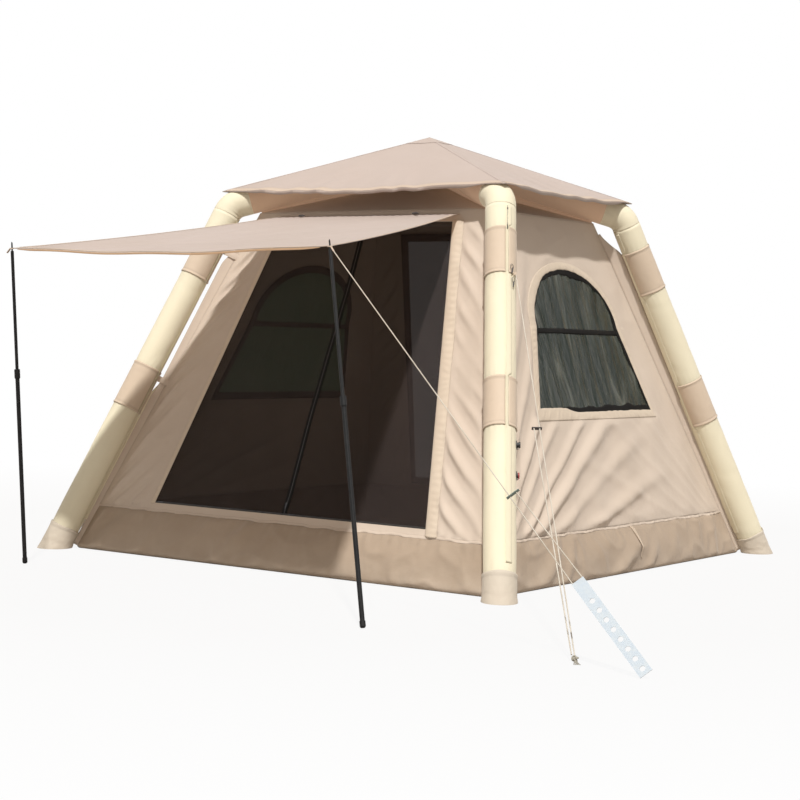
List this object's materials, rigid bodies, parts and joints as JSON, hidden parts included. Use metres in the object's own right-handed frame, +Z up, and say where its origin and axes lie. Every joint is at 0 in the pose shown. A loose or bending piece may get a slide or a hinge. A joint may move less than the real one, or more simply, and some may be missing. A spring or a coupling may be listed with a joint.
{
  "type": "inflatable camping tent",
  "caption": "Inflatable camping tent with leaning air-beam legs, a pyramid fly roof, mesh door and windows, and a raised door awning on two poles with guy ropes.",
  "frame": {"origin": "centre of the floor, on the ground", "axes": "+X towards the tent's right side seen from the front, +Y towards the rear door, +Z up"},
  "size_m": [4.5814, 4.4349, 2.4426],
  "materials": {
    "pale_yellow_sleeve": "coated woven polyester, pale yellow",
    "tan_band": "webbed polyester, tan",
    "grey_beige_boot": "coated heavy polyester, grey beige",
    "clear_air_bladder": "welded clear film",
    "grey_hub": "moulded soft grey rubber",
    "tan_fly": "coated polyester, pinkish tan",
    "tan_wall": "woven polyester, tan",
    "tan_groundsheet": "coated heavy polyester, tan",
    "black_mesh": "fine black mesh",
    "black_zip": "moulded black teeth",
    "dark_metal": "dark lacquered",
    "black_pole": "black coated tube",
    "black_valve": "black moulded plastic",
    "black_cap": "black soft plastic",
    "red_cap": "red soft plastic",
    "off_white_rope": "braided off-white cord",
    "grey_green_slider": "anodised grey green",
    "dark_toggle": "dark moulded plastic",
    "rope_end": "frayed cord",
    "pale_blue_strap": "translucent pale blue plastic"
  },
  "bodies": {
    "tent": {"boot_front_left": "grey_beige_boot", "leg_sleeve_front_left": "pale_yellow_sleeve", "air_bladder_front_left": "clear_air_bladder", "roof_beam_sleeve_front_left": "pale_yellow_sleeve", "lower_band_front_left": "tan_band", "upper_band_front_left": "tan_band", "boot_front_right": "grey_beige_boot", "leg_sleeve_front_right": "pale_yellow_sleeve", "air_bladder_front_right": "clear_air_bladder", "roof_beam_sleeve_front_right": "pale_yellow_sleeve", "lower_band_front_right": "tan_band", "upper_band_front_right": "tan_band", "boot_rear_left": "grey_beige_boot", "leg_sleeve_rear_left": "pale_yellow_sleeve", "air_bladder_rear_left": "clear_air_bladder", "roof_beam_sleeve_rear_left": "pale_yellow_sleeve", "lower_band_rear_left": "tan_band", "upper_band_rear_left": "tan_band", "boot_rear_right": "grey_beige_boot", "leg_sleeve_rear_right": "pale_yellow_sleeve", "air_bladder_rear_right": "clear_air_bladder", "roof_beam_sleeve_rear_right": "pale_yellow_sleeve", "lower_band_rear_right": "tan_band", "upper_band_rear_right": "tan_band", "roof_hub": "grey_hub", "fly_roof": "tan_fly", "inner_roof": "tan_wall", "front_wall": "tan_wall", "right_wall": "tan_wall", "rear_wall": "tan_wall", "left_wall": "tan_wall", "floor_tray": "tan_groundsheet", "front_door_mesh_left": "black_mesh", "front_door_mesh_right": "black_mesh", "rear_door_mesh": "black_mesh", "left_window_mesh": "black_mesh", "right_window_mesh": "black_mesh", "door_bottom_zip": "black_zip", "door_centre_zip": "black_zip", "inflate_valve": "black_valve", "deflate_valve": "black_valve", "leg_guy_rope": "off_white_rope", "leg_guy_return": "off_white_rope", "leg_guy_knot": "rope_end"},
    "raised_flap": {"awning": "tan_fly"},
    "right_pole_top": {"right_pole_upper": "black_pole"},
    "right_pole_base": {"right_pole_lower": "black_pole"},
    "left_pole_top": {"left_pole_upper": "black_pole"},
    "left_pole_base": {"left_pole_lower": "black_pole"},
    "awning_guy": {"awning_guy_rope": "off_white_rope", "awning_guy_return": "off_white_rope", "ladder_strap": "pale_blue_strap"},
    "awning_guy_tensioner": {"awning_guy_slider": "grey_green_slider"},
    "leg_guy_tensioner": {"leg_guy_slider": "dark_toggle"},
    "centre_zip_pull": {"door_centre_pull": "dark_metal"},
    "bottom_left_zip_pull": {"door_bottom_left_pull": "dark_metal"},
    "bottom_right_zip_pull": {"door_bottom_right_pull": "dark_metal"},
    "leg_zip_slider": {"leg_zip_pull": "dark_metal"},
    "inflate_cap_body": {"inflate_cap": "black_cap"},
    "deflate_cap_body": {"deflate_cap": "red_cap"}
  },
  "joints": [
    {"name": "awning_tilt", "type": "hinge", "parent": "tent", "child": "raised_flap", "pos_m": [0, -0.60363, 1.94132], "axis": [1, 0, 0], "range_deg": [-8, 10]},
    {"name": "right_pole_pivot", "type": "hinge", "parent": "raised_flap", "child": "right_pole_top", "pos_m": [1.036, -2.311, 1.666], "axis": [1, 0, 0], "range_deg": [-10.02, 8.02]},
    {"name": "left_pole_pivot", "type": "hinge", "parent": "raised_flap", "child": "left_pole_top", "pos_m": [-1.036, -2.311, 1.666], "axis": [1, 0, 0], "range_deg": [-10.02, 8.02]},
    {"name": "right_pole_telescope", "type": "slide", "parent": "right_pole_top", "child": "right_pole_base", "axis": [-0.2677, 0.1779, 0.9469], "range_m": [-0.25225, 0.31519]},
    {"name": "left_pole_telescope", "type": "slide", "parent": "left_pole_top", "child": "left_pole_base", "axis": [0.0262, -0.108, 0.9938], "range_m": [-0.24038, 0.30035]},
    {"name": "awning_guy_swing", "type": "hinge", "parent": "raised_flap", "child": "awning_guy", "pos_m": [1.036, -2.311, 1.666], "axis": [0.8288, 0.5596, 0], "range_deg": [-14.73, 11.79]},
    {"name": "awning_guy_adjust", "type": "slide", "parent": "awning_guy", "child": "awning_guy_tensioner", "axis": [0.7394, -0.204, -0.6416], "range_m": [0, 0.3], "deforming": ["awning_guy_return"]},
    {"name": "leg_guy_adjust", "type": "slide", "parent": "tent", "child": "leg_guy_tensioner", "axis": [0.512, -0.6524, -0.5588], "range_m": [0, 0.3], "deforming": ["leg_guy_return"]},
    {"name": "centre_zip_slide", "type": "slide", "parent": "tent", "child": "centre_zip_pull", "axis": [0, 0.3871, 0.922], "range_m": [0, 1.649]},
    {"name": "bottom_left_zip_slide", "type": "slide", "parent": "tent", "child": "bottom_left_zip_pull", "axis": [1, 0, 0], "range_m": [0, 0.83]},
    {"name": "bottom_right_zip_slide", "type": "slide", "parent": "tent", "child": "bottom_right_zip_pull", "axis": [1, 0, 0], "range_m": [0, 0.82]},
    {"name": "leg_zip_slide", "type": "slide", "parent": "tent", "child": "leg_zip_slider", "axis": [0.2538, -0.3644, -0.896], "range_m": [0, 1.9]},
    {"name": "inflate_cap_turn", "type": "hinge", "parent": "tent", "child": "inflate_cap_body", "pos_m": [1.38071, -1.16186, 0.72044], "axis": [-0.4212, 0.7922, -0.4416], "range_deg": [0, 110]},
    {"name": "deflate_cap_turn", "type": "hinge", "parent": "tent", "child": "deflate_cap_body", "pos_m": [1.41997, -1.22347, 0.57246], "axis": [-0.4212, 0.7922, -0.4416], "range_deg": [0, 110]}
  ],
  "couplings": [
    {"joint": "right_pole_pivot", "follows": "awning_tilt", "ratio": -1},
    {"joint": "left_pole_pivot", "follows": "awning_tilt", "ratio": -1},
    {"joint": "right_pole_telescope", "follows": "awning_tilt", "m_per_rad": 1.8031},
    {"joint": "left_pole_telescope", "follows": "awning_tilt", "m_per_rad": 1.718},
    {"joint": "awning_guy_swing", "follows": "awning_tilt", "ratio": -1.4714}
  ]
}
